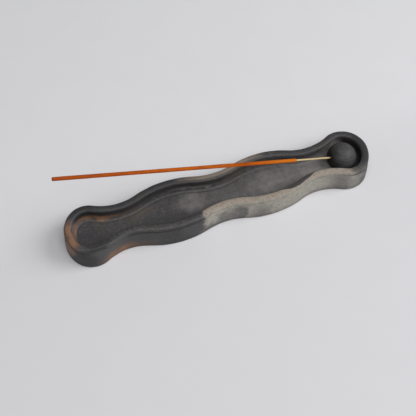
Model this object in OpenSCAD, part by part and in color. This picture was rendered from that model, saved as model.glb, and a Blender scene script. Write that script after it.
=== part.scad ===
// Boat-shaped incense burner: a wavy ash tray, a loose ball that grips the stick, and the stick itself.
// The tray's long axis is X, the ball sits in the +X lobe, and Z = 0 is the face that the tray rests on.

/* [Tray outline] */
// Length of the tray over both round ends
tray_l = 240; // [225:1:260]
// Half of the tray's width at its waist, in the middle
waist_half_w = 16.5; // [15.5:0.1:18]
// Radius of the hollow curve at the waist
waist_r = 52.6; // [45:0.1:60]
// Distance from the waist to the widest point of a bulge
bulge_x = 36; // [33:0.5:39]
// Radius of a bulge's curve
bulge_r = 71.3; // [65:0.1:78]
// Radius of the hollow curve at a neck
neck_r = 39.6; // [34:0.1:45]
// Radius of an end lobe's shoulders
shoulder_r = 17.8; // [17:0.1:18.3]
// Distance from the tray's centre line to the centre of a shoulder
shoulder_y = 3.3; // [2.8:0.1:3.6]
// Radius of the curve round the end of a lobe
end_r = 22.9; // [22.5:0.1:25]

/* [Tray section] */
// Height of the tray at the top of its rim
tray_h = 21.5; // [20.5:0.5:24]
// Height of the ash floor above the table
floor_z = 11.5; // [10.5:0.5:12.5]
// Distance that the outer wall leans in from the foot to the rim
wall_lean = 0.9; // [0:0.1:1.2]
// Width of the rounded rim
rim_w = 5.7; // [5:0.1:5.9]
// Height of the rim's rounding
rim_round = 2.2; // [1.5:0.1:3]
// Width and height of the cove between the inner wall and the floor
cove_r = 3.2; // [2.5:0.1:4.4]
// Bevel around the foot
foot_bevel = 1.2; // [0.5:0.1:2]

/* [Ball] */
// Radius of the ball
ball_r = 11.2; // [10.5:0.1:11.5]
// Distance of the ball's centre from the tray's end
ball_inset = 20.9; // [20:0.1:22]
// Height of the ball's centre above the table
ball_z = 15.6; // [15:0.1:17]
// Gap between the ball and its seat
seat_gap = 0.1; // [0.05:0.01:0.2]
// Depth of the stick's hole below the ball's surface
hole_depth = 11.5; // [8:0.5:14]
// Radius of the hole's flared mouth
mouth_r = 1.9; // [1:0.1:2.2]
// Depth of the hole's flared mouth
mouth_depth = 2.6; // [1:0.1:3]

/* [Stick] */
// Angle of the stick above the table
stick_tilt = 20.3; // [10:0.1:60]
// Length of the bamboo core
stick_l = 230; // [220:1:260]
// Radius of the bamboo core
core_r = 0.65; // [0.5:0.05:0.8]
// Gap between the bamboo and the wall of its hole
core_gap = 0.05; // [0.02:0.01:0.1]
// Length of the incense, which ends flush with the core at the tip
coat_l = 188; // [150:1:190]
// Radius of the incense
coat_r = 1.35; // [1:0.05:1.6]

/* [Hidden] */
$fn = 96;

// Centres of the five curves that make each quarter of the outline, placed so that neighbours are tangent
waist_c = [0, waist_half_w + waist_r];
bulge_c = [bulge_x, waist_c[1] - sqrt(pow(waist_r + bulge_r, 2) - pow(bulge_x, 2))];
end_c = [tray_l / 2 - end_r, 0];
shoulder_c = [end_c[0] + sqrt(pow(end_r - shoulder_r, 2) - pow(shoulder_y, 2)), shoulder_y];
neck_c = tangent_centre(bulge_c, bulge_r + neck_r, shoulder_c, shoulder_r + neck_r);

// Directions at which one curve hands over to the next
waist_to_bulge = heading(waist_c, bulge_c);
bulge_to_neck = heading(bulge_c, neck_c);
neck_to_shoulder = heading(neck_c, shoulder_c);
end_to_shoulder = heading(end_c, shoulder_c);

rim_in = wall_lean + rim_w;
rim_mid = wall_lean + rim_w / 2;
rim_step = 30;
cove_steps = 4;
curve_steps = 5;

// Inset from the foot's outline and height of each ring of the tray's skin, from the foot to the ash floor
section = concat(
    [[foot_bevel, 0], [0, foot_bevel]],
    [for (a = [180:-rim_step:0]) rim_point(a)],
    [for (i = [0:cove_steps]) cove_point(90 * i / cove_steps)]
);

ball_c = [tray_l / 2 - ball_inset, 0, ball_z];
hole_r = core_r + core_gap;
hole_end = ball_r - hole_depth;
stick_tip = hole_end + stick_l;
coat_start = stick_tip - coat_l;
coat_edge = 0.3;
over = 1;

function heading(a, b) = atan2(b[1] - a[1], b[0] - a[0]);

// The point at distance r1 from a and r2 from b, on the left of the line from a to b
function tangent_centre(a, r1, b, r2) =
    let (d = norm(b - a), u = (b - a) / d)
    let (s = (r1 * r1 - r2 * r2 + d * d) / (2 * d), h = sqrt(r1 * r1 - s * s))
    a + s * u + h * [-u[1], u[0]];

function rim_point(a) = [
    rim_mid + rim_w / 2 * sign(cos(a)) * pow(abs(cos(a)), 0.7),
    tray_h - rim_round * (1 - pow(sin(a), 0.8))
];

function cove_point(a) = [rim_in + cove_r * (1 - cos(a)), floor_z + cove_r * (1 - sin(a))];

// Points on an arc without its last one, which is where the next arc starts
function arc(c, r, from, to, n) = [
    for (i = [0:n - 1])
        let (a = from + (to - from) * i / n)
        c + r * [cos(a), sin(a)]
];

function flip_x(points) = [for (i = [len(points) - 1:-1:0]) [-points[i][0], points[i][1]]];

function flip_y(points) = [for (i = [len(points) - 1:-1:0]) [points[i][0], -points[i][1]]];

// The +X, +Y quarter of the outline, from the lobe's tip to just before the waist, drawn in by inset
function quarter(inset) = concat(
    arc(end_c, end_r - inset, 0, end_to_shoulder, 3),
    arc(shoulder_c, shoulder_r - inset, end_to_shoulder, neck_to_shoulder + 180, curve_steps + 2),
    arc(neck_c, neck_r + inset, neck_to_shoulder, bulge_to_neck - 180, curve_steps),
    arc(bulge_c, bulge_r - inset, bulge_to_neck, waist_to_bulge + 180, curve_steps),
    arc(waist_c, waist_r + inset, waist_to_bulge, -90, 3)
);

function outline(inset) =
    let (q = quarter(inset), tip = [q[0]], side = [for (i = [1:len(q) - 1]) q[i]])
    let (waist = [[0, waist_half_w - inset]], far = flip_x(side))
    concat(tip, side, waist, far, flip_x(tip), flip_y(far), flip_y(waist), flip_y(side));

// Faces that close a ring of n points, paired across the X axis from one tip of the outline to the other
function cap(n) = concat(
    [[0, 1, n - 1]],
    [for (i = [1:n / 2 - 2]) [i, i + 1, n - i - 1, n - i]],
    [[n / 2 - 1, n / 2, n / 2 + 1]]
);

// A closed body through a stack of rings, with flat faces at the first and the last ring
module skin(rings) {
    n = len(rings[0]);
    m = len(rings);
    points = [for (r = rings, p = r) p];
    walls = [
        for (j = [0:m - 2], i = [0:n - 1])
            let (k = (i + 1) % n)
            [j * n + i, (j + 1) * n + i, (j + 1) * n + k, j * n + k]
    ];
    lid = [for (f = cap(n)) [for (i = [len(f) - 1:-1:0]) (m - 1) * n + f[i]]];
    polyhedron(points, concat(walls, cap(n), lid), convexity = 8);
}

// Moves children from the ball's own axis, pointing up, to the direction in which the stick points
module along_stick() {
    translate(ball_c) rotate([0, stick_tilt - 90, 0]) children();
}

module tray() {
    color([0.29, 0.28, 0.28])
    difference() {
        skin([for (s = section) [for (p = outline(s[0])) [p[0], p[1], s[1]]]]);
        translate(ball_c) sphere(r = ball_r + seat_gap);
    }
}

module ball() {
    color([0.24, 0.24, 0.25])
    difference() {
        translate(ball_c) sphere(r = ball_r);
        along_stick() rotate_extrude() polygon([
            [0, hole_end],
            [hole_r, hole_end],
            [hole_r, ball_r - mouth_depth],
            [mouth_r, ball_r],
            [mouth_r, ball_r + over],
            [0, ball_r + over]
        ]);
    }
}

module bamboo_core() {
    color([0.84, 0.74, 0.53])
    along_stick() translate([0, 0, hole_end]) cylinder(h = stick_l, r = core_r);
}

module incense_coating() {
    color([0.75, 0.36, 0.11])
    along_stick() rotate_extrude() polygon([
        [core_r, coat_start],
        [coat_r - coat_edge, coat_start],
        [coat_r, coat_start + coat_edge],
        [coat_r, stick_tip - coat_edge],
        [coat_r - coat_edge, stick_tip],
        [core_r, stick_tip]
    ]);
}

tray();
ball();
bamboo_core();
incense_coating();
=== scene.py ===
import math
import bmesh
import bpy
from mathutils import Matrix, Vector


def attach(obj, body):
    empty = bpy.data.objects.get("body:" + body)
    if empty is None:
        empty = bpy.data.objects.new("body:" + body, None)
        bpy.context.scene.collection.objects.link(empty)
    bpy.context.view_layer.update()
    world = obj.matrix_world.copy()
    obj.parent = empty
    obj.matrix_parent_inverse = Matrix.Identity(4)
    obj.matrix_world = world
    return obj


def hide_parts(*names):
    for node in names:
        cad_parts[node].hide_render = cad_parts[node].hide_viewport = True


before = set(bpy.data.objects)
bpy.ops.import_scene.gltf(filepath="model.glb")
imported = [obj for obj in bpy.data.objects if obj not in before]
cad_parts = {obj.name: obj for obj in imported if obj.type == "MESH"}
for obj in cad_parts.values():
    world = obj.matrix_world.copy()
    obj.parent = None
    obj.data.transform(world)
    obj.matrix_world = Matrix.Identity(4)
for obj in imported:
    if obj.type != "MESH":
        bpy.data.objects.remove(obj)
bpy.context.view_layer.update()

zAxis = (0, 0, 1)
tiny = 1e-6
weldDistance = 1e-5
millimetres = 1000


# small helpers for selecting, editing and shaping
def clearSelection():
    if bpy.context.object and bpy.context.object.mode != "OBJECT":
        bpy.ops.object.mode_set(mode="OBJECT")
    bpy.ops.object.select_all(action="DESELECT")


def useOnly(thing):
    clearSelection()
    thing.select_set(True)
    bpy.context.view_layer.objects.active = thing


def startEditing(kind="VERT"):
    bpy.ops.object.mode_set(mode="EDIT")
    bpy.ops.mesh.select_mode(type=kind)


def stopEditing():
    bpy.ops.object.mode_set(mode="OBJECT")


def pick(kind, test):
    # selects the verts, edges or faces of the mesh being edited that pass the test
    bpy.ops.mesh.select_all(action="DESELECT")
    shape = bmesh.from_edit_mesh(bpy.context.object.data)
    for item in getattr(shape, kind):
        if test(item):
            item.select_set(True)
    shape.select_flush_mode()
    bmesh.update_edit_mesh(bpy.context.object.data)


def extrudeBy(step):
    bpy.ops.mesh.extrude_region_move(TRANSFORM_OT_translate={"value": step})


def placeInMesh(thing):
    # leaves the object at the origin, with its place in its mesh
    useOnly(thing)
    bpy.ops.object.transform_apply(location=True, rotation=True, scale=True)


def addModifier(thing, kind, settings):
    useOnly(thing)
    modifier = thing.modifiers.new(kind.lower(), kind)
    for key, value in settings.items():
        setattr(modifier, key, value)
    bpy.ops.object.modifier_apply(modifier=modifier.name)


def dent(thing, dents):
    # pushes the skin in and out a little, as fingers leave it, for each size and depth
    for size, depth in dents:
        cloud = bpy.data.textures.new(thing.name + "Dents", "CLOUDS")
        cloud.noise_scale = size
        addModifier(thing, "DISPLACE", {
            "texture": cloud, "texture_coords": "GLOBAL", "mid_level": 0.5, "strength": depth,
        })


def smooth(thing, degrees):
    useOnly(thing)
    bpy.ops.object.shade_smooth_by_angle(angle=math.radians(degrees))


trayShape = {
    "length": 0.240,
    "waistHalfWidth": 0.0165,
    "waistRadius": 0.0526,
    "bulgeX": 0.036,
    "bulgeRadius": 0.0713,
    "neckRadius": 0.0396,
    "shoulderRadius": 0.0178,
    "shoulderY": 0.0033,
    "endRadius": 0.0229,
    "height": 0.0215,
    "floorHeight": 0.0115,
    "lean": 0.0009,
    "rimWidth": 0.0057,
    "rimRound": 0.0020,
    "rimSquareness": 0.8,  # 1 is an even round, less is squarer
    "rimFlatness": 0.75,  # 1 is an even round, less is flatter on top
    "creaseWidth": 0.0030,  # the groove under the rim's outer edge
    "creaseDepth": 0.0003,
    "creaseSkew": 1.6,  # above 1 the groove is deepest above its middle
    "innerWallLean": 0.00004,  # for each step down
    "coveLip": 0.0001,
    "coveHeight": 0.0042,
    "coveWidth": 0.0025,
    "toolMarkDepth": 0.0001,  # where the cove meets the floor
    "toolMarkReach": (0.0003, 0.0006, 0.0010),
    "floorMargin": 0.0018,
    "floorRise": 0.00005,
    "footRound": 0.0012,
    "footSteps": 4,
    "wallSteps": 9,
    "creaseSteps": 6,
    "rimSteps": 14,
    "innerWallSteps": 4,
    "coveSteps": 9,
    "spacing": 0.0010,  # between neighbouring sections along the outline
    "floorRows": 8,
    "dents": [(0.034, 0.0006), (0.009, 0.0002)],  # size and depth
    # where the maker's hands pressed the rim out of true: place, move and reach, in millimetres
    "presses": [
        ((-101, -19, 21), (0, 1.3, 0), 13),
        ((-86, -13, 21), (0, -1.3, -0.4), 12),
        ((-45, -19, 21), (0, 0.5, 0), 30),
        ((30, 17, 21), (0, 0, 0.4), 30),
        ((-108, 10, 21), (0, 0, -0.5), 20),
        ((117, 8, 19), (0.5, 0.4, 0), 18),
    ],
    "fingertip": 0.003,  # the spot that a press moves fully
    "standsFlatBelow": 0.0003,
    "smoothAngle": 50,
}
ballShape = {
    "radius": 0.0112,
    "centre": Vector((0.0991, 0, 0.0156)),
    "seatGap": 0.0001,
    "seatSegments": 128,
    "segments": 96,
    "rings": 64,
    "openedRings": 4,  # rings of faces that make way for the mouth
    "dents": [(0.011, 0.00016), (0.0035, 0.00006)],
    "smoothAngle": 60,
    "holeRings": [  # radius and height from the ball's centre, down the hole
        (0.00205, 0.01095), (0.00190, 0.01076), (0.00176, 0.01040), (0.00160, 0.00980),
        (0.00135, 0.00900), (0.00100, 0.00840), (0.00074, 0.00810), (0.00070, 0.00790),
        (0.00070, 0.00400), (0.00070, -0.00030),
    ],
}
stickTilt = math.radians(20.3)
stickTurn = (0, stickTilt - math.pi / 2, 0)


def between(centreA, centreB):
    return math.atan2(centreB[1] - centreA[1], centreB[0] - centreA[0])


def outlineCurves(s):
    # centre, radius, start and end direction, and which way it bows, for the five curves of a quarter
    waist = (0, s["waistHalfWidth"] + s["waistRadius"])
    reach = s["waistRadius"] + s["bulgeRadius"]
    bulge = (s["bulgeX"], waist[1] - math.sqrt(reach ** 2 - s["bulgeX"] ** 2))
    end = (s["length"] / 2 - s["endRadius"], 0)
    spread = math.sqrt((s["endRadius"] - s["shoulderRadius"]) ** 2 - s["shoulderY"] ** 2)
    shoulder = (end[0] + spread, s["shoulderY"])
    toBulge = s["bulgeRadius"] + s["neckRadius"]
    toShoulder = s["shoulderRadius"] + s["neckRadius"]
    gap = math.dist(bulge, shoulder)
    along = (toBulge ** 2 - toShoulder ** 2 + gap ** 2) / (2 * gap)
    aside = math.sqrt(toBulge ** 2 - along ** 2)
    ux, uy = (shoulder[0] - bulge[0]) / gap, (shoulder[1] - bulge[1]) / gap
    neck = (bulge[0] + along * ux - aside * uy, bulge[1] + along * uy + aside * ux)
    return [
        (end, s["endRadius"], 0, between(end, shoulder), 1),
        (shoulder, s["shoulderRadius"], between(end, shoulder), between(neck, shoulder) + math.pi, 1),
        (neck, s["neckRadius"], between(neck, shoulder), between(bulge, neck) - math.pi, -1),
        (bulge, s["bulgeRadius"], between(bulge, neck), between(waist, bulge) + math.pi, 1),
        (waist, s["waistRadius"], between(waist, bulge), -math.pi / 2, -1),
    ]


curves = outlineCurves(trayShape)


def insetAt(x, y):
    # how far a point lies inside the outline of the foot
    x, y = abs(x), abs(y)
    for centre, radius, start, stop, bow in curves:
        way = math.atan2(y - centre[1], x - centre[0])
        if min(start, stop) - tiny <= way <= max(start, stop) + tiny:
            return bow * (radius - math.dist((x, y), centre))
    return 1.0


def trayBoundary(inset, side):
    # test for the ring at that inset, on the foot or on the floor
    def onRing(vert):
        return abs(insetAt(vert.co.x, vert.co.y) - inset) < 2 * weldDistance and side(vert.co.z)
    return onRing


def traySection(s):
    # inset and height of each point, from the foot over the rim to the floor
    foot, top, lean = s["footRound"], s["height"], s["lean"]
    points = []
    for k in range(s["footSteps"] + 1):
        a = math.radians(90 * k / s["footSteps"])
        points.append((foot * (1 - math.sin(a)), foot * (1 - math.cos(a))))
    wallTop = top - s["rimRound"] - s["creaseWidth"]
    for k in range(1, s["wallSteps"] + 1):
        t = k / s["wallSteps"]
        points.append((lean * t * t, foot + (wallTop - foot) * t))
    for k in range(1, s["creaseSteps"]):
        t = k / s["creaseSteps"]
        depth = s["creaseDepth"] * math.sin(math.pi * t ** s["creaseSkew"])
        points.append((lean + depth, wallTop + s["creaseWidth"] * t))
    half, middle = s["rimWidth"] / 2, lean + s["rimWidth"] / 2
    for k in range(s["rimSteps"] + 1):
        a = math.pi * (1 - k / s["rimSteps"])
        side = math.copysign(abs(math.cos(a)) ** s["rimSquareness"], math.cos(a))
        drop = s["rimRound"] * (1 - math.sin(a) ** s["rimFlatness"])
        points.append((middle + half * side, top - drop))
    rimIn, floor = lean + s["rimWidth"], s["floorHeight"]
    wallTop, wallFoot = top - s["rimRound"], floor + s["coveHeight"]
    for k in range(1, s["innerWallSteps"]):
        t = k / s["innerWallSteps"]
        points.append((rimIn + s["innerWallLean"] * k, wallTop + (wallFoot - wallTop) * t))
    coveTop = rimIn + s["coveLip"]
    for k in range(s["coveSteps"] + 1):
        a = math.radians(90 * k / s["coveSteps"])
        points.append((coveTop + s["coveWidth"] * (1 - math.cos(a)),
                       wallFoot - s["coveHeight"] * math.sin(a)))
    edge = coveTop + s["coveWidth"]
    first, last, end = s["toolMarkReach"]
    marked = floor - s["toolMarkDepth"]
    points += [(edge + first, marked), (edge + last, marked), (edge + end, floor)]
    points += [(edge + s["floorMargin"], floor + s["floorRise"])]
    return points


def makeTray(s):
    section = traySection(s)
    clearSelection()
    bpy.ops.mesh.primitive_plane_add(size=0.001, location=(0, 0, 0))
    tray = bpy.context.object
    tray.name = "clayTray"
    startEditing()
    bpy.ops.mesh.merge(type="CENTER")  # one vertex, to pull the section out of
    places = [Vector((s["length"] / 2 - inset, 0, height)) for inset, height in section]
    bpy.ops.transform.translate(value=places[0])
    for here, there in zip(places, places[1:]):
        extrudeBy(there - here)
    bpy.ops.mesh.select_all(action="SELECT")
    for centre, radius, start, stop, _ in curves:
        steps = max(4, round(abs(stop - start) * radius / s["spacing"]))
        bpy.ops.mesh.spin(steps=steps, angle=start - stop, center=(centre[0], centre[1], 0), axis=zAxis)
    # the floor and the foot's underside reach in from their edge rings to the centre line
    for inset, side, rows in (
        (section[-1][0], lambda z: z > s["floorHeight"] / 2, s["floorRows"]),
        (section[0][0], lambda z: z < tiny, s["floorRows"] // 2),
    ):
        bpy.ops.mesh.select_mode(type="EDGE")
        onRing = trayBoundary(inset, side)
        pick("edges", lambda e: onRing(e.verts[0]) and onRing(e.verts[1]))
        for row in range(rows):
            extrudeBy((0, 0, 0))
            keep = (rows - row - 1) / (rows - row)
            bpy.ops.transform.resize(value=(1, keep, 1), center_override=(0, 0, 0))
    stopEditing()
    addModifier(tray, "MIRROR", {"use_axis": (True, True, False), "merge_threshold": weldDistance})
    startEditing()
    bpy.ops.mesh.select_all(action="SELECT")
    bpy.ops.mesh.remove_doubles(threshold=weldDistance)
    bpy.ops.mesh.normals_make_consistent(inside=False)
    stopEditing()
    return tray


def finishTray(tray, s, ball):
    dent(tray, s["dents"])
    startEditing()
    for place, move, reach in s["presses"]:
        middle = Vector(place) / millimetres
        pick("verts", lambda v: (v.co - middle).length < s["fingertip"])
        bpy.ops.transform.translate(
            value=Vector(move) / millimetres, use_proportional_edit=True,
            proportional_edit_falloff="SMOOTH", proportional_size=reach / millimetres)
    pick("verts", lambda v: v.co.z < s["standsFlatBelow"])
    bpy.ops.transform.resize(value=(1, 1, 0), center_override=(0, 0, 0))
    stopEditing()
    clearSelection()
    bpy.ops.mesh.primitive_uv_sphere_add(
        segments=ball["seatSegments"], ring_count=ball["seatSegments"] // 2,
        radius=ball["radius"] + ball["seatGap"], location=ball["centre"])
    seat = bpy.context.object
    placeInMesh(seat)
    addModifier(tray, "BOOLEAN", {"operation": "DIFFERENCE", "solver": "EXACT", "object": seat})
    bpy.data.objects.remove(seat)
    smooth(tray, s["smoothAngle"])
    # the distance in from the outline, kept for the paint to follow
    insets = tray.data.attributes.new("inset", "FLOAT", "POINT")
    insets.data.foreach_set("value", [insetAt(v.co.x, v.co.y) for v in tray.data.vertices])


clayTray = makeTray(trayShape)
finishTray(clayTray, trayShape, ballShape)
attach(clayTray, "tray")
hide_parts("tray")
print("tray modelled", len(clayTray.data.polygons))


def makeBall(s):
    clearSelection()
    bpy.ops.mesh.primitive_uv_sphere_add(
        segments=s["segments"], ring_count=s["rings"], radius=s["radius"])
    ball = bpy.context.object
    ball.name = "holderBall"
    startEditing("FACE")
    opened = math.radians(180 / s["rings"] * s["openedRings"])
    ringRadius, ringHeight = s["radius"] * math.sin(opened), s["radius"] * math.cos(opened)
    pick("faces", lambda f: f.calc_center_median().z > ringHeight)
    bpy.ops.mesh.delete(type="FACE")
    bpy.ops.mesh.select_mode(type="EDGE")
    pick("edges", lambda e: e.is_boundary)
    for radius, height in s["holeRings"]:
        extrudeBy((0, 0, height - ringHeight))
        grow = radius / ringRadius
        bpy.ops.transform.resize(value=(grow, grow, 1), center_override=(0, 0, 0))
        ringRadius, ringHeight = radius, height
    bpy.ops.mesh.edge_face_add()
    bpy.ops.mesh.select_all(action="SELECT")
    bpy.ops.mesh.remove_doubles(threshold=tiny)
    bpy.ops.mesh.normals_make_consistent(inside=False)
    stopEditing()
    ball.rotation_euler = stickTurn
    ball.location = s["centre"]
    placeInMesh(ball)
    dent(ball, s["dents"])
    smooth(ball, s["smoothAngle"])
    return ball


holderBall = makeBall(ballShape)
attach(holderBall, "ball")
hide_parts("ball")
print("ball modelled", len(holderBall.data.polygons))


# starts and stops are measured along the stick from the ball's centre
bambooShape = {
    "name": "bambooSplint",
    "radius": 0.00065,
    "start": -0.0003,
    "stop": 0.2293,
    "sides": 20,
    "ringSpacing": 0.0015,
    "endRings": [(0.8, 0), (1, 0.0002)],  # share of the radius, and distance from the end
    "dents": [(0.004, 0.00006)],
    "smoothAngle": 40,
}
pasteShape = {
    "name": "incensePaste",
    "radius": 0.00135,
    "start": 0.0417,
    "stop": 0.2297,
    "sides": 28,
    "ringSpacing": 0.0009,
    "endRings": [(0.62, 0), (0.84, 0.00008), (0.97, 0.0003), (1, 0.0006)],
    "dents": [(0.009, 0.00012), (0.0014, 0.00007)],
    "smoothAngle": 50,
}


def rodRings(s):
    # radius and height of every ring: one rounded end, the even middle, the other end
    rounded = s["endRings"][-1][1]
    first, last = s["start"] + rounded, s["stop"] - rounded
    count = round((last - first) / s["ringSpacing"])
    rings = [(s["radius"] * share, s["start"] + far) for share, far in s["endRings"]]
    rings += [(s["radius"], first + (last - first) * k / count) for k in range(1, count + 1)]
    rings += [(s["radius"] * share, s["stop"] - far) for share, far in reversed(s["endRings"][:-1])]
    return rings


def makeRod(s):
    # a disc pulled out ring by ring
    rings = rodRings(s)
    clearSelection()
    bpy.ops.mesh.primitive_circle_add(
        vertices=s["sides"], radius=rings[0][0], fill_type="NGON", location=(0, 0, rings[0][1]))
    rod = bpy.context.object
    rod.name = s["name"]
    placeInMesh(rod)
    startEditing("FACE")
    bpy.ops.mesh.select_all(action="SELECT")
    for (radius, height), (nextRadius, nextHeight) in zip(rings, rings[1:]):
        extrudeBy((0, 0, nextHeight - height))
        grow = nextRadius / radius
        bpy.ops.transform.resize(value=(grow, grow, 1), center_override=(0, 0, 0))
    bpy.ops.mesh.select_all(action="SELECT")
    bpy.ops.mesh.normals_make_consistent(inside=False)
    stopEditing()
    rod.rotation_euler = stickTurn
    rod.location = ballShape["centre"]
    placeInMesh(rod)
    dent(rod, s["dents"])
    smooth(rod, s["smoothAngle"])
    return rod


bambooSplint = makeRod(bambooShape)
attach(bambooSplint, "stick")
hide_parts("bamboo_core")
incensePaste = makeRod(pasteShape)
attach(incensePaste, "stick")
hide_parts("incense_coating")
print("stick modelled", len(bambooSplint.data.polygons), len(incensePaste.data.polygons))


class Wire:
    # a shader socket that Python's own signs can work on
    def __init__(self, tree, socket=None):
        self.tree = tree
        self.socket = socket

    def node(self, kind, settings=None, sockets=None, out=0):
        made = self.tree.nodes.new("ShaderNode" + kind)
        for key, value in (settings or {}).items():
            setattr(made, key, value)
        for key, value in (sockets or {}).items():
            if isinstance(value, Wire):
                self.tree.links.new(value.socket, made.inputs[key])
            else:
                made.inputs[key].default_value = value
        return Wire(self.tree, made.outputs[out])

    def maths(self, operation, first, second):
        return self.node("Math", {"operation": operation}, {0: first, 1: second})

    def __add__(self, other):
        return self.maths("ADD", self, other)

    def __radd__(self, other):
        return self.maths("ADD", other, self)

    def __sub__(self, other):
        return self.maths("SUBTRACT", self, other)

    def __rsub__(self, other):
        return self.maths("SUBTRACT", other, self)

    def __mul__(self, other):
        return self.maths("MULTIPLY", self, other)

    def __rmul__(self, other):
        return self.maths("MULTIPLY", other, self)

    def rise(self, low, high):
        # 0 below low, 1 above high, smooth between
        return self.node("MapRange", {"interpolation_type": "SMOOTHSTEP"},
                         {"Value": self, "From Min": low, "From Max": high})

    def fall(self, low, high):
        return 1 - self.rise(low, high)

    def band(self, start, stop):
        # 1 between the two edges, each edge a low and a high
        return self.rise(*start) * self.fall(*stop)


def newMaterial(name):
    material = bpy.data.materials.new(name)
    material.use_nodes = True
    return material, Wire(material.node_tree)


def vectorMaths(shader, operation, first, second):
    return shader.node("VectorMath", {"operation": operation}, {0: first, 1: second})


def inMillimetres(shader):
    place = shader.node("TexCoord", {}, {}, "Object")
    return vectorMaths(shader, "MULTIPLY", place, (millimetres, millimetres, millimetres))


def split(shader, where):
    parts = shader.node("SeparateXYZ", {}, {0: where}).socket.node
    return [Wire(shader.tree, out) for out in parts.outputs]


def noise(shader, where, grain, out=0):
    scale, detail, roughness = grain
    return shader.node("TexNoise", {}, {
        "Vector": where, "Scale": scale, "Detail": detail, "Roughness": roughness}, out)


def stretchedNoise(shader, where, stretch, grain):
    # a smaller number draws the pattern out along that axis
    return noise(shader, vectorMaths(shader, "MULTIPLY", where, stretch), grain)


def moved(shader, where, grain, reach):
    # the same place, moved about by noise, so that an edge wanders
    away = vectorMaths(shader, "SUBTRACT", noise(shader, where, grain, "Color"), (0.5, 0.5, 0.5))
    return vectorMaths(shader, "ADD", where, vectorMaths(shader, "MULTIPLY", away, reach))


def mixColour(shader, amount, under, over):
    settings = {"data_type": "RGBA", "blend_type": "MIX", "clamp_factor": True}
    return shader.node("Mix", settings, {0: amount, 6: under, 7: over}, 2)


def patch(shader, where, centre, size, edge):
    # 1 inside an egg-shaped patch, 0 outside, softer for a larger edge
    away = vectorMaths(shader, "SUBTRACT", where, centre)
    scaled = vectorMaths(shader, "DIVIDE", away, size)
    far = shader.node("VectorMath", {"operation": "LENGTH"}, {0: scaled}, "Value")
    return far.fall(1 - edge, 1 + edge)


def applyLayers(shader, colour, noises, layers, tones):
    # a layer has its noise, the side of the two levels that it takes, its strength and its tone
    for name, side, low, high, strength, tone in layers:
        amount = noises[name].rise(low, high) if side == "above" else noises[name].fall(low, high)
        colour = mixColour(shader, amount * strength, colour, tones[tone])
    return colour


def applyMarks(shader, colour, where, within, marks, tones):
    # a mark has its tone, strength, centre and half-size in millimetres, and softness of the edge
    for tone, strength, centre, size, edge in marks:
        amount = patch(shader, where, centre, size, edge) * within * strength
        colour = mixColour(shader, amount, colour, tones[tone])
    return colour


def varied(wire, start, share):
    return start + wire * share


def finishMaterial(material, shader, thing, colour, rough, relief, p):
    principled = material.node_tree.nodes["Principled BSDF"]
    principled.inputs["Specular IOR Level"].default_value = p["gloss"]
    bump = shader.node("Bump", {}, {
        "Height": relief, "Strength": p["bump"], "Distance": p["bumpSize"]})
    for key, wire in (("Base Color", colour), ("Roughness", rough), ("Normal", bump)):
        shader.tree.links.new(wire.socket, principled.inputs[key])
    thing.data.materials.clear()
    thing.data.materials.append(material)


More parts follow.
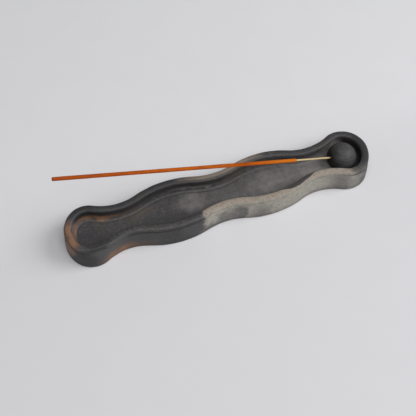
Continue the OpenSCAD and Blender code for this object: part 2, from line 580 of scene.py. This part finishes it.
trayPaint = {
    "tones": {
        "charcoal": (0.050, 0.0485, 0.050, 1),
        "charcoalPale": (0.080, 0.077, 0.077, 1),
        "charcoalDeep": (0.028, 0.027, 0.029, 1),
        "ash": (0.145, 0.135, 0.132, 1),
        "paleAshAndLight": (0.195, 0.183, 0.178, 1),
        "tan": (0.350, 0.295, 0.240, 1),
        "paleTan": (0.425, 0.402, 0.350, 1),
        "smokedTan": (0.262, 0.212, 0.172, 1),
        "grey": (0.150, 0.143, 0.140, 1),
        "sootAndShade": (0.026, 0.024, 0.025, 1),
        "deepSootAndShade": (0.016, 0.015, 0.016, 1),
        "smoke": (0.052, 0.049, 0.048, 1),
        "plum": (0.064, 0.057, 0.065, 1),
        "moss": (0.058, 0.057, 0.050, 1),
        "brown": (0.105, 0.084, 0.068, 1),
        "orange": (0.285, 0.145, 0.080, 1),
        "rust": (0.160, 0.086, 0.050, 1),
    },
    "noises": {  # scale, detail and roughness
        "cloudy": (0.045, 5, 0.62),
        "hue": (0.07, 3, 0.5),
        "mottle": (0.28, 6, 0.74),
        "speckle": (0.62, 3, 0.6),
        "grain": (1.3, 4, 0.7),
        "pores": (2.6, 2, 0.5),
        "ragged": (0.55, 5, 0.7),
    },
    "driftNoise": (0.13, 6, 0.5),
    "driftReach": (14, 9, 10),
    "raggedReach": 9,
    "rimDrift": 0.10,
    "rimRagged": 0.05,
    "backTanRagged": 0.08,
    "clayTone": "charcoal",
    "clayLayers": [
        ("cloudy", "above", 0.38, 0.64, 0.60, "charcoalPale"),
        ("hue", "above", 0.42, 0.62, 0.70, "plum"),
        ("hue", "below", 0.36, 0.48, 0.60, "moss"),
        ("mottle", "above", 0.50, 0.66, 0.60, "charcoalPale"),
        ("mottle", "below", 0.32, 0.48, 0.65, "charcoalDeep"),
        ("speckle", "above", 0.52, 0.64, 0.28, "ash"),
        ("speckle", "below", 0.36, 0.48, 0.40, "charcoalDeep"),
        ("grain", "above", 0.56, 0.70, 0.40, "ash"),
        ("grain", "below", 0.32, 0.44, 0.45, "charcoalDeep"),
    ],
    "tanRimLayers": [
        ("mottle", "above", 0.42, 0.66, 0.35, "grey"),
        ("speckle", "below", 0.36, 0.50, 0.35, "brown"),
    ],
    "tanWallLayers": [
        ("mottle", "above", 0.40, 0.68, 0.40, "grey"),
        ("speckle", "below", 0.36, 0.46, 0.18, "brown"),
    ],
    "poreLayers": [("pores", "above", 0.66, 0.72, 0.35, "charcoalDeep")],
    # edges of each zone in millimetres, inwards from the outline, up, or along the tray
    "rimInset": ((0.9, 1.5), (5.6, 6.6)),
    "rimLevel": (17.4, 18.4),
    "basinInset": (3.0, 3.4),
    "frontHalf": (-3, 3),
    "tanStart": (-21, -17.5),
    "tanRimStop": (93, 107),
    "tanWallStop": (100, 114),
    "tanRimFade": (90, 104),
    "backTanStart": (-33, -26),
    "backTanStop": (22, 50),
    "backTanInset": (4.2, 5.4),
    "backTanLevel": (12, 19),
    "coveInset": ((6.3, 6.8), (8.9, 9.4)),
    "coveLevel": (15.4, 17.2),
    "creaseInset": ((0.7, 1.0), (1.5, 2.2)),
    "creaseLevel": ((16.8, 18.2), (19.2, 20.2)),
    "grooveInset": ((8.9, 9.4), (9.8, 10.5)),
    "grooveLevel": (12, 13),
    "grooveAlong": ((-88, -66), (5, 35)),
    "underRimInset": (6.2, 6.7),
    "underRimLevel": (15.5, 18),
    "underRimAlong": ((-114, -104), (-42, -28)),
    "footLevel": (0.5, 7),
    # the dark spill that crosses the tan rim
    "spillMiddle": 58,
    "spillInset": 2.5,
    "spillCurve": 1.4,
    "spillRagged": (0.9, 0.16),  # along the rim, and across it
    "spillEdge": (-0.2, 0.2),
    # how strongly each is laid on, and where two numbers, its least and its share of the mottle
    "outsideDark": 0.30,
    "wallPatchy": (0.55, 0.9),
    "backTanPatchy": (0.55, 0.7),
    "basinPatchy": (2.4, 2.0, -1.2),  # shares of the mottle and the clouds, and the start
    "covePatchy": (0.4, 1.2),
    "grooveDark": 1.1,
    "underRimDark": 0.5,
    "footDark": 0.42,
    "rough": 0.54,
    "roughMottle": 0.25,
    "roughTan": 0.18,
    "reliefGrain": 0.6,
    "reliefPores": 0.4,
    "reliefMottle": 0.8,
    "bump": 0.35,
    "bumpSize": 0.00022,
    "gloss": 0.38,
    "basinMarks": [
        # pale floor patches: ash, partly painted light where the floor brightens towards the right
        ("paleAshAndLight", 0.88, (-22, 2, 11.5), (10.5, 8, 3), 0.7),
        ("ash", 0.45, (6, 0, 11.5), (26, 12, 3), 0.6),
        ("paleAshAndLight", 0.55, (36, 0, 11.5), (13, 11, 3), 0.7),
        ("paleAshAndLight", 0.62, (64, 0, 11.5), (22, 11, 3), 0.6),
        ("paleAshAndLight", 0.62, (82, 1, 12.0), (14, 10, 3), 0.5),
        ("charcoalDeep", 0.45, (-104, -6, 11.5), (13, 9, 3), 0.6),
        ("charcoalDeep", 0.45, (-50, -9, 11.5), (40, 7, 3), 0.6),
        # painted shadow: the deep shade round the ball in the right lobe
        ("sootAndShade", 1.00, (113, 1, 12), (13, 18, 9), 0.2),
        # painted highlight on the cove behind the ball
        ("paleAshAndLight", 1.00, (94, 12, 14.5), (10, 6, 4), 0.5),
        ("brown", 0.95, (16, 15, 17), (14, 6, 4), 0.5),
        # painted light on the left end's inner wall, which faces the lamps
        ("paleAshAndLight", 1.00, (-115, 1, 17), (8, 14, 4), 0.4),
        ("charcoalPale", 0.60, (42, 17, 17), (26, 6, 3), 0.6),
        ("brown", 0.60, (-64, 7, 11.5), (12, 5, 3), 0.6),
        # painted shade, partly smoke, on the upper back inner wall
        ("sootAndShade", 0.55, (-92, 15, 18), (24, 5, 3.2), 0.4),
        ("sootAndShade", 0.40, (-20, 16, 18), (16, 5, 2.6), 0.5),
    ],
    "coveLightAndMarks": [  # the pale marks are painted light on the cove's slope, which faces the lamps
        ("charcoalPale", 0.45, (-50, 12, 14.8), (34, 9, 1.8), 0.5),
        ("charcoalDeep", 0.40, (-54, 12, 11.8), (30, 9, 1.6), 0.7),
        ("charcoalDeep", 0.25, (24, 12, 12.4), (70, 9, 1.6), 0.7),
        ("paleAshAndLight", 0.75, (-17, 11, 14.9), (18, 8, 1.9), 0.5),
        ("ash", 0.45, (24, 12, 15.6), (22, 8, 2.0), 0.5),
        ("ash", 0.80, (62, 9, 15.6), (18, 9, 2.0), 0.5),
        ("ash", 0.75, (91, 11, 16.5), (8, 7, 2.8), 0.4),
        ("orange", 0.70, (-92, 12, 13.9), (18, 8, 2.6), 0.5),
        ("orange", 0.60, (-109, 4, 13.5), (7, 10, 3.0), 0.5),
    ],
    "wallMarks": [
        ("sootAndShade", 0.70, (-110, -18, 9), (10, 12, 14), 0.5),
        ("charcoalPale", 0.95, (-90, -17, 14), (13, 8, 11), 0.6),
        ("charcoalPale", 0.45, (-66, -17, 12), (16, 8, 11), 0.6),
        ("rust", 0.60, (-78, -17, 1), (20, 7, 7), 0.6),
        ("orange", 0.95, (-83, -17, 0.5), (11, 8, 7), 0.7),
        ("charcoalDeep", 0.35, (-116, -8, 9), (9, 12, 10), 0.5),
        ("orange", 0.80, (-117.5, -7.5, 13), (5, 6, 6), 0.6),
        ("sootAndShade", 0.45, (-116, 12, 10), (6, 10, 12), 0.5),
        ("charcoalPale", 0.65, (-27, -22, 12), (8, 8, 9), 0.6),
        ("grey", 0.85, (-14, -22, 1), (11, 9, 7), 0.4),
        ("grey", 0.75, (-1, -20, 8), (7, 9, 9), 0.4),
        ("grey", 0.75, (9.5, -18, 8), (6, 9, 10), 0.25),
        ("charcoalPale", 0.28, (12, -18, 8), (3.2, 9, 8), 0.3),
        ("grey", 0.60, (26, -20, 6), (7, 9, 8), 0.6),
        ("grey", 0.65, (91, -20, 8), (8, 9, 16), 0.8),
        ("grey", 0.35, (107, -20, 8), (6, 9, 16), 0.8),
    ],
    "rimMarks": [
        ("charcoalDeep", 0.85, (-97, -20, 21), (10, 6, 5), 0.5),
        ("charcoalDeep", 0.70, (-92, -16.5, 21), (15, 2.6, 4), 0.5),
        ("charcoalDeep", 0.65, (-60, 18, 21), (44, 11, 5), 0.3),
        ("charcoalDeep", 0.85, (-104, 20, 21), (10, 9, 5), 0.5),
        ("charcoalDeep", 0.50, (78, 17, 21), (34, 11, 5), 0.3),
        ("charcoalDeep", 0.80, (117, 2, 21), (10, 20, 6), 0.3),
        ("orange", 0.80, (-114.5, -3, 20.5), (7, 11, 4), 0.5),
        ("charcoalDeep", 0.50, (-120, 4, 19), (3.2, 16, 4), 0.5),
    ],
}


def paintTray(thing, p):
    tones = p["tones"]
    material, shader = newMaterial("pitFiredClay")
    where = inMillimetres(shader)
    inset = shader.node("Attribute", {"attribute_name": "inset"}, {}, "Fac") * millimetres
    level = split(shader, where)[2]
    smoky = moved(shader, where, p["driftNoise"], p["driftReach"])
    x, y, z = split(shader, smoky)
    noises = {name: noise(shader, where, grain) for name, grain in p["noises"].items()}
    mottle = noises["mottle"]
    ragged = (noises["ragged"] - 0.5) * p["raggedReach"]

    rimEdge = inset + ((z - level) * p["rimDrift"] + ragged * p["rimRagged"])
    onRim = rimEdge.band(*p["rimInset"]) * level.rise(*p["rimLevel"])
    basin = inset.rise(*p["basinInset"]) * (1 - onRim)
    outside = (1 - basin) * (1 - onRim)
    front = y.fall(*p["frontHalf"])
    colour = applyLayers(shader, tones[p["clayTone"]], noises, p["clayLayers"], tones)

    # the side that the smoke didn't reach, and a little of it at the back
    tanFrom = (x + ragged).rise(*p["tanStart"]) * front
    tanAlong = tanFrom * x.fall(*p["tanRimStop"])
    tanSide = tanFrom * x.fall(*p["tanWallStop"])
    backRim = onRim * (inset + ragged * p["backTanRagged"]).fall(*p["backTanInset"])
    backPlace = backRim + outside * level.rise(*p["backTanLevel"])
    backAlong = (x + ragged).rise(*p["backTanStart"]) * x.fall(*p["backTanStop"])
    tanBack = backAlong * (1 - front) * backPlace
    tanRim = applyLayers(shader, tones["tan"], noises, p["tanRimLayers"], tones)
    tanWall = applyLayers(shader, tones["paleTan"], noises, p["tanWallLayers"], tones)
    colour = mixColour(shader, outside * p["outsideDark"], colour, tones["charcoalDeep"])
    tanCover = (1 - basin) * (1 - onRim * x.rise(*p["tanRimFade"]))
    colour = mixColour(shader, tanSide * tanCover, colour, tanWall)
    onWall = outside * varied(mottle, *p["wallPatchy"])
    colour = applyMarks(shader, colour, smoky, onWall, p["wallMarks"], tones)
    colour = mixColour(shader, tanAlong * onRim, colour, tanRim)
    colour = mixColour(shader, tanBack * varied(mottle, *p["backTanPatchy"]), colour, tones["smokedTan"])
    colour = applyMarks(shader, colour, smoky, onRim, p["rimMarks"], tones)

    raggedAlong, raggedAcross = p["spillRagged"]
    along = (x + ragged * raggedAlong - p["spillMiddle"]) * 0.1  # centimetres from its middle
    across = inset + ragged * raggedAcross - p["spillInset"] - along * along * p["spillCurve"]
    spilled = across.rise(*p["spillEdge"])
    colour = mixColour(shader, spilled * front * onRim, colour, tones["smoke"])

    mottleShare, cloudShare, start = p["basinPatchy"]
    inBasin = basin * (mottle * mottleShare + noises["cloudy"] * cloudShare + start)
    colour = applyMarks(shader, colour, smoky, inBasin, p["basinMarks"], tones)
    # painted light on the cove's slope, among its darker and orange marks
    cove = inset.band(*p["coveInset"]) * level.fall(*p["coveLevel"])
    onCove = cove * varied(mottle, *p["covePatchy"])
    colour = applyMarks(shader, colour, smoky, onCove, p["coveLightAndMarks"], tones)

    # painted shade, with some soot, darkens the crease under the rim; painted shade darkens the groove
    # where the cove meets the floor and the inner wall under the rim; the outer wall is darker towards
    # the bottom
    crease = inset.band(*p["creaseInset"]) * level.band(*p["creaseLevel"])
    groove = inset.band(*p["grooveInset"]) * level.fall(*p["grooveLevel"])
    groove = groove * mottle * x.band(*p["grooveAlong"])
    under = inset.rise(*p["underRimInset"]) * level.rise(*p["underRimLevel"])
    under = under * x.band(*p["underRimAlong"])
    foot = outside * level.fall(*p["footLevel"])
    # painted shade, with some soot, in the crease under the rim
    colour = mixColour(shader, crease * (1 - tanAlong), colour, tones["deepSootAndShade"])
    # painted shade in the groove where the cove meets the floor
    colour = mixColour(shader, groove * p["grooveDark"], colour, tones["charcoalDeep"])
    # painted shade on the inner wall under the rim
    colour = mixColour(shader, under * p["underRimDark"], colour, tones["charcoalDeep"])
    colour = mixColour(shader, foot * p["footDark"], colour, tones["sootAndShade"])
    colour = applyLayers(shader, colour, noises, p["poreLayers"], tones)

    rough = p["rough"] + (mottle - 0.5) * p["roughMottle"] + tanAlong * (1 - basin) * p["roughTan"]
    relief = noises["grain"] * p["reliefGrain"] + noises["pores"] * p["reliefPores"]
    relief = relief + mottle * p["reliefMottle"]
    finishMaterial(material, shader, thing, colour, rough, relief, p)


paintTray(clayTray, trayPaint)

ballPaint = {
    "tones": {
        "smoke": (0.040, 0.0385, 0.041, 1),
        "wornAndLit": (0.082, 0.079, 0.077, 1),
        "black": (0.012, 0.011, 0.012, 1),
    },
    "mottle": (0.32, 5, 0.7),
    "grain": (1.4, 3, 0.6),
    "streaks": (1.0, 5, 0.7),
    "streakStretch": (0.16, 0.16, 1.1),  # wiping marks run round, nearly level with the table
    "streakLayers": [
        ("streaks", "above", 0.44, 0.60, 0.75, "wornAndLit"),
        ("streaks", "below", 0.34, 0.48, 0.75, "black"),
    ],
    "grainLayers": [("grain", "above", 0.56, 0.68, 0.30, "wornAndLit")],
    # tone, strength, centre and half-size in millimetres, softness of the edge
    # a paler worn patch, partly painted light on the ball's lit upper right
    "wipedAndLitMarks": [("wornAndLit", 1.00, (105, -3, 22), (9, 11, 10), 0.7)],
    "wipedAndLitPatchy": (0.15, 0.5),
    # painted shade on the ball's left side, away from the window lamp
    "shadedSideMarks": [("black", 0.85, (89, 4, 17), (7, 12, 10), 0.6)],
    # painted shade in the mouth of the hole
    "mouthShadeMarks": [("black", 0.95, (88.4, 0, 19.6), (4.6, 3.8, 3.8), 0.4)],
    # painted shade: the ball darkens towards the floor
    "footLevel": (10, 17),
    "footDark": 0.75,
    "rough": 0.55,
    "roughMottle": 0.2,
    "roughStreaks": 0.2,
    "reliefStreaks": 1.2,
    "reliefGrain": 0.5,
    "bump": 0.4,
    "bumpSize": 0.00025,
    "gloss": 0.35,
}


def paintBall(thing, p):
    tones = p["tones"]
    material, shader = newMaterial("smokedClay")
    where = inMillimetres(shader)
    mottle = noise(shader, where, p["mottle"])
    grain = noise(shader, where, p["grain"])
    streaks = stretchedNoise(shader, where, p["streakStretch"], p["streaks"])
    noises = {"streaks": streaks, "grain": grain}
    wipedAndLit = varied(mottle, *p["wipedAndLitPatchy"])
    foot = split(shader, where)[2].fall(*p["footLevel"])
    colour = applyLayers(shader, tones["smoke"], noises, p["streakLayers"], tones)
    # paler worn patch, partly painted light on the lit side
    colour = applyMarks(shader, colour, where, wipedAndLit, p["wipedAndLitMarks"], tones)
    # painted shade on the ball's left side
    colour = applyMarks(shader, colour, where, 1, p["shadedSideMarks"], tones)
    colour = applyLayers(shader, colour, noises, p["grainLayers"], tones)
    # painted shade in the mouth of the hole
    colour = applyMarks(shader, colour, where, 1, p["mouthShadeMarks"], tones)
    # painted shade on the ball's lower part
    colour = mixColour(shader, foot * p["footDark"], colour, tones["black"])
    rough = p["rough"] + (mottle - 0.5) * p["roughMottle"] + (streaks - 0.5) * p["roughStreaks"]
    relief = streaks * p["reliefStreaks"] + grain * p["reliefGrain"]
    finishMaterial(material, shader, thing, colour, rough, relief, p)


paintBall(holderBall, ballPaint)


def alongStick(shader):
    # millimetres along the stick from the ball's centre, and across it
    place = shader.node("TexCoord", {}, {}, "Object")
    step = 1 / millimetres
    turned = shader.node("Mapping", {"vector_type": "TEXTURE"}, {
        "Vector": place, "Location": ballShape["centre"], "Rotation": stickTurn,
        "Scale": (step, step, step),
    })
    return turned, split(shader, turned)[2]


bambooPaint = {
    "tones": {
        "bamboo": (0.72, 0.56, 0.32, 1),
        "fibre": (0.52, 0.36, 0.16, 1),
        "mouthShade": (0.16, 0.10, 0.06, 1),
    },
    "fibre": (1.0, 3, 0.6),
    "fibreStretch": (6, 6, 0.12),
    "band": (1.0, 2, 0.5),
    "bandStretch": (0.3, 0.3, 0.1),
    "layers": [
        ("fibre", "above", 0.42, 0.66, 0.70, "fibre"),
        ("band", "above", 0.50, 0.70, 0.40, "fibre"),
    ],
    # painted shade on the splint where it leaves the ball's mouth
    "mouthShadeUpTo": (10, 13),  # along the stick, where it leaves the ball
    "mouthShadeStrength": 0.6,
    "rough": 0.5,
    "roughFibre": 0.2,
    "bump": 0.3,
    "bumpSize": 0.00012,
    "gloss": 0.4,
}


def paintBamboo(thing, p):
    tones = p["tones"]
    material, shader = newMaterial("bamboo")
    where, far = alongStick(shader)
    fibre = stretchedNoise(shader, where, p["fibreStretch"], p["fibre"])
    band = stretchedNoise(shader, where, p["bandStretch"], p["band"])
    noises = {"fibre": fibre, "band": band}
    colour = applyLayers(shader, tones["bamboo"], noises, p["layers"], tones)
    # painted shade on the splint where it leaves the ball's mouth
    mouthShade = far.fall(*p["mouthShadeUpTo"]) * p["mouthShadeStrength"]
    colour = mixColour(shader, mouthShade, colour, tones["mouthShade"])
    rough = p["rough"] + (fibre - 0.5) * p["roughFibre"]
    finishMaterial(material, shader, thing, colour, rough, fibre, p)


pastePaint = {
    "tones": {
        "paste": (0.50, 0.104, 0.004, 1),
        "fresh": (0.64, 0.175, 0.010, 1),
        "dark": (0.30, 0.052, 0.004, 1),
        "tip": (0.31, 0.055, 0.008, 1),
    },
    "grain": (2.2, 3, 0.7),
    "patchy": (1.0, 4, 0.6),
    "patchyStretch": (0.4, 0.4, 0.10),
    "patchyLayers": [("patchy", "above", 0.38, 0.66, 0.75, "dark")],
    "grainLayers": [("grain", "below", 0.34, 0.46, 0.40, "dark")],
    "freshUpTo": (48, 80),  # along the stick
    "freshShare": 0.8,
    "tipFrom": (120, 230),
    "tipShare": 0.6,
    "rough": 0.86,
    "roughGrain": 0.2,
    "bump": 0.55,
    "bumpSize": 0.0002,
    "gloss": 0.15,
}


def paintPaste(thing, p):
    tones = p["tones"]
    material, shader = newMaterial("orangeIncense")
    where, far = alongStick(shader)
    grain = noise(shader, where, p["grain"])
    patchy = stretchedNoise(shader, where, p["patchyStretch"], p["patchy"])
    noises = {"grain": grain, "patchy": patchy}
    fresh = far.fall(*p["freshUpTo"]) * p["freshShare"]
    tip = far.rise(*p["tipFrom"]) * p["tipShare"]
    colour = applyLayers(shader, tones["paste"], noises, p["patchyLayers"], tones)
    colour = mixColour(shader, fresh, colour, tones["fresh"])
    colour = mixColour(shader, tip, colour, tones["tip"])
    colour = applyLayers(shader, colour, noises, p["grainLayers"], tones)
    rough = p["rough"] + (grain - 0.5) * p["roughGrain"]
    finishMaterial(material, shader, thing, colour, rough, grain + patchy, p)


paintBamboo(bambooSplint, bambooPaint)
paintPaste(incensePaste, pastePaint)
print("materials made")

studio = {
    "floorSize": 16,
    "floorTone": (0.725, 0.725, 0.745, 1),
    "floorLitTone": (0.775, 0.775, 0.795, 1),  # painted light: the floor runs a little paler away from the viewer
    "floorLitFrom": (-0.01, 0.06),
    "floorShade": (0.60, 0.60, 0.62, 1),
    "floorShadeFrom": (0.3, 0.7),
    "floorShadeShare": 0.05,
    "tooth": (40, 3, 0.5),
    "rough": 0.8,
    "roughTooth": 0.05,
    "bump": 0.02,
    "bumpSize": 0.0002,
    "gloss": 0.2,
    "skyStrength": 0.135,
    "lamps": [  # name, place, size and power
        ("window", (1.48, -0.48, 1.4), 1.26, 23.5),
        ("whiteWall", (-0.07, -0.72, 2.08), 1.65, 25.5),
    ],
}
viewpoint = {
    "azimuth": math.radians(-19.772),
    "elevation": math.radians(59.46),
    "roll": math.radians(0.423),
    "distance": 0.64709,
    "target": Vector((-0.00967, -0.00055, 0)),
    "lens": 73.56,
    "sensorWidth": 36,
}


def makeFloor(s):
    clearSelection()
    bpy.ops.mesh.primitive_plane_add(size=s["floorSize"], location=(0, 0, 0))
    floor = bpy.context.object
    floor.name = "tableTop"
    material, shader = newMaterial("matteWhite")
    place = shader.node("TexCoord", {}, {}, "Object")
    tooth = noise(shader, place, s["tooth"])
    # painted light, brighter away from the viewer
    pale = split(shader, place)[1].rise(*s["floorLitFrom"])
    shade = tooth.rise(*s["floorShadeFrom"]) * s["floorShadeShare"]
    colour = mixColour(shader, pale, s["floorTone"], s["floorLitTone"])
    colour = mixColour(shader, shade, colour, s["floorShade"])
    rough = s["rough"] + tooth * s["roughTooth"]
    finishMaterial(material, shader, floor, colour, rough, tooth, s)


def makeLights(s):
    world = bpy.data.worlds.new("softSky")
    bpy.context.scene.world = world
    world.use_nodes = True
    sky = world.node_tree.nodes["Background"]
    sky.inputs["Color"].default_value = (1, 1, 1, 1)
    sky.inputs["Strength"].default_value = s["skyStrength"]
    for name, place, size, power in s["lamps"]:
        lamp = bpy.data.lights.new(name, "AREA")
        lamp.size, lamp.energy = size, power
        holder = bpy.data.objects.new(name, lamp)
        bpy.context.collection.objects.link(holder)
        holder.location = place
        holder.rotation_euler = Vector(place).to_track_quat("Z", "Y").to_euler()


def makeCamera(v):
    camera = bpy.data.objects.new("camera", bpy.data.cameras.new("camera"))
    bpy.context.collection.objects.link(camera)
    camera.data.lens = v["lens"]
    camera.data.sensor_width = v["sensorWidth"]
    azimuth, elevation = v["azimuth"], v["elevation"]
    flat = math.cos(elevation)
    way = Vector((math.sin(azimuth) * flat, -math.cos(azimuth) * flat, math.sin(elevation)))
    turn = Matrix.Rotation(azimuth, 4, "Z")
    turn = turn @ Matrix.Rotation(math.pi / 2 - elevation, 4, "X")
    turn = turn @ Matrix.Rotation(v["roll"], 4, "Z")
    camera.matrix_world = Matrix.Translation(v["target"] + way * v["distance"]) @ turn
    bpy.context.scene.camera = camera


makeFloor(studio)
makeLights(studio)
makeCamera(viewpoint)
bpy.context.scene.view_settings.view_transform = "Standard"
print("floor, lights and camera placed")
